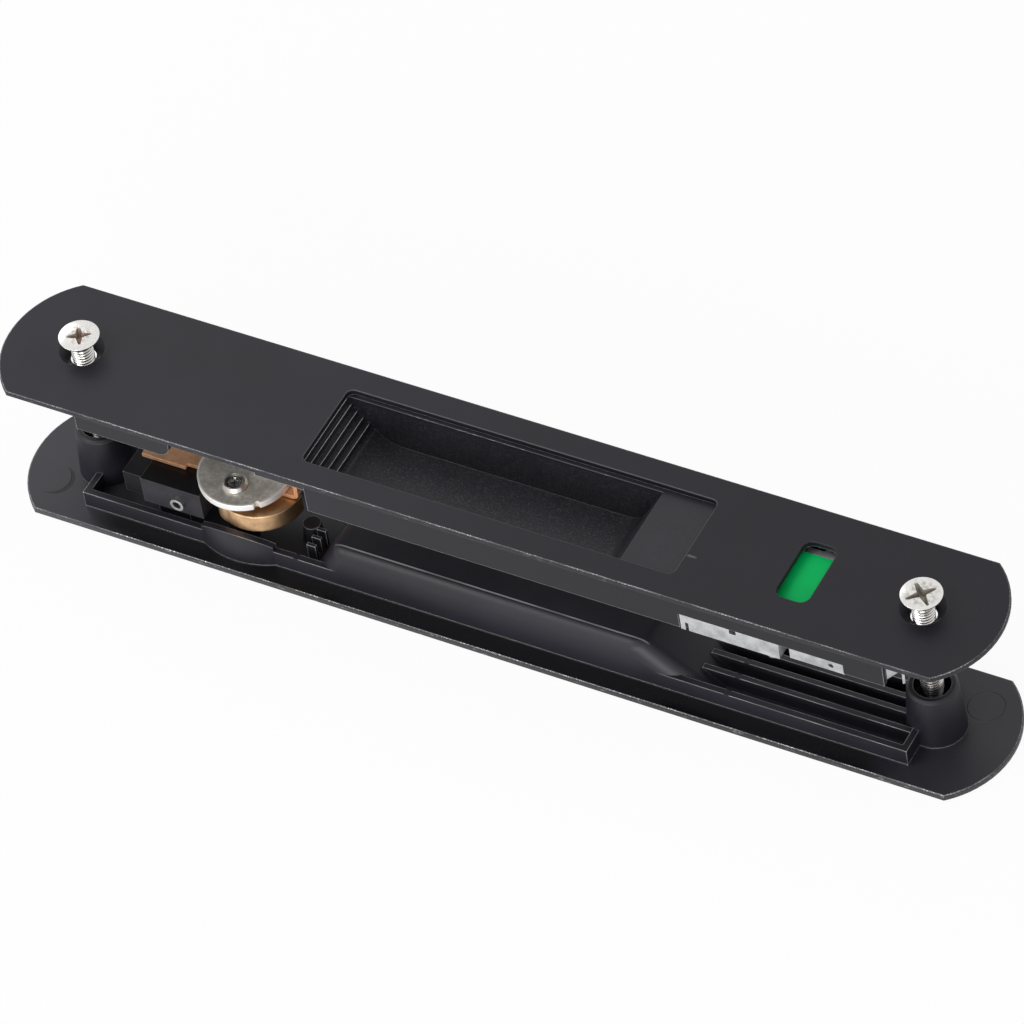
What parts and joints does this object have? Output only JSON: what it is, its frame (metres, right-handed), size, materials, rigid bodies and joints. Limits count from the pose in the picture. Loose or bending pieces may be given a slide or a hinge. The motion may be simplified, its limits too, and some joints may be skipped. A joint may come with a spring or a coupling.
{
  "type": "sliding door hook lock",
  "caption": "Sliding door latch: two long cover plates clamped over a door stile, with a sliding recessed finger pull, a swinging hook bolt and an indicator window.",
  "frame": {"origin": "centre of the rear cover plate's outer face", "axes": "+X along the lock towards the indicator window, +Y away from the jamb that the hook swings out to, +Z from the rear cover to the front cover"},
  "size_m": [0.24, 0.0346, 0.0442],
  "materials": {
    "black_coat": "satin black coat on die-cast zinc, worn bright along the edges",
    "zinc_cast": "bare die-cast zinc alloy, bright and slightly dull",
    "plated_steel": "zinc plated steel",
    "nickel_screw": "bright nickel plated steel",
    "stained_steel": "grey steel with brown stains",
    "bronze_bare": "bare cast bronze",
    "copper_strip": "bright copper alloy strip",
    "green_enamel": "green colour label",
    "red_enamel": "red colour label",
    "black_moulding": "matt black moulded plastic",
    "spring_steel": "spring steel leaf"
  },
  "bodies": {
    "covers": {"rear_housing": "black_coat", "tray_left": "black_coat", "tray_right": "black_coat", "rear_cup": "black_coat", "front_housing": "black_coat", "guide_plate": "plated_steel", "guide_bridge": "zinc_cast", "pivot_screw": "plated_steel", "thrust_washer": "plated_steel", "guide_block": "black_moulding", "block_pin": "plated_steel", "stop_spring": "spring_steel", "guide_screws": "plated_steel", "bridge_screws": "plated_steel", "block_screws": "plated_steel"},
    "slider": {"slider_cup": "black_coat", "indicator_carrier": "zinc_cast", "green_label": "green_enamel", "red_label": "red_enamel", "drive_link": "copper_strip", "carrier_screws": "plated_steel", "link_rivets": "copper_strip"},
    "hook_assembly": {"hook": "bronze_bare", "hook_cap_disc": "stained_steel", "pivot_collar": "stained_steel", "crank_pin": "plated_steel"},
    "screw_left": {"clamp_screw_left": "nickel_screw"},
    "screw_right": {"clamp_screw_right": "nickel_screw"}
  },
  "joints": [
    {"name": "cup_slide", "type": "slide", "parent": "covers", "child": "slider", "axis": [1, 0, 0], "range_m": [0, 0.0105]},
    {"name": "hook_swing", "type": "hinge", "parent": "covers", "child": "hook_assembly", "pos_m": [-0.0629, -0.0073, 0.0134], "axis": [0, 0, -1], "range_deg": [0, 80.1]},
    {"name": "screw_left_draw", "type": "slide", "parent": "covers", "child": "screw_left", "axis": [0, 0, 1], "range_m": [-0.0044, 0]},
    {"name": "screw_right_draw", "type": "slide", "parent": "covers", "child": "screw_right", "axis": [0, 0, 1], "range_m": [-0.0044, 0]}
  ],
  "couplings": [
    {"joint": "hook_swing", "follows": "cup_slide", "rad_per_m": 132.98}
  ]
}
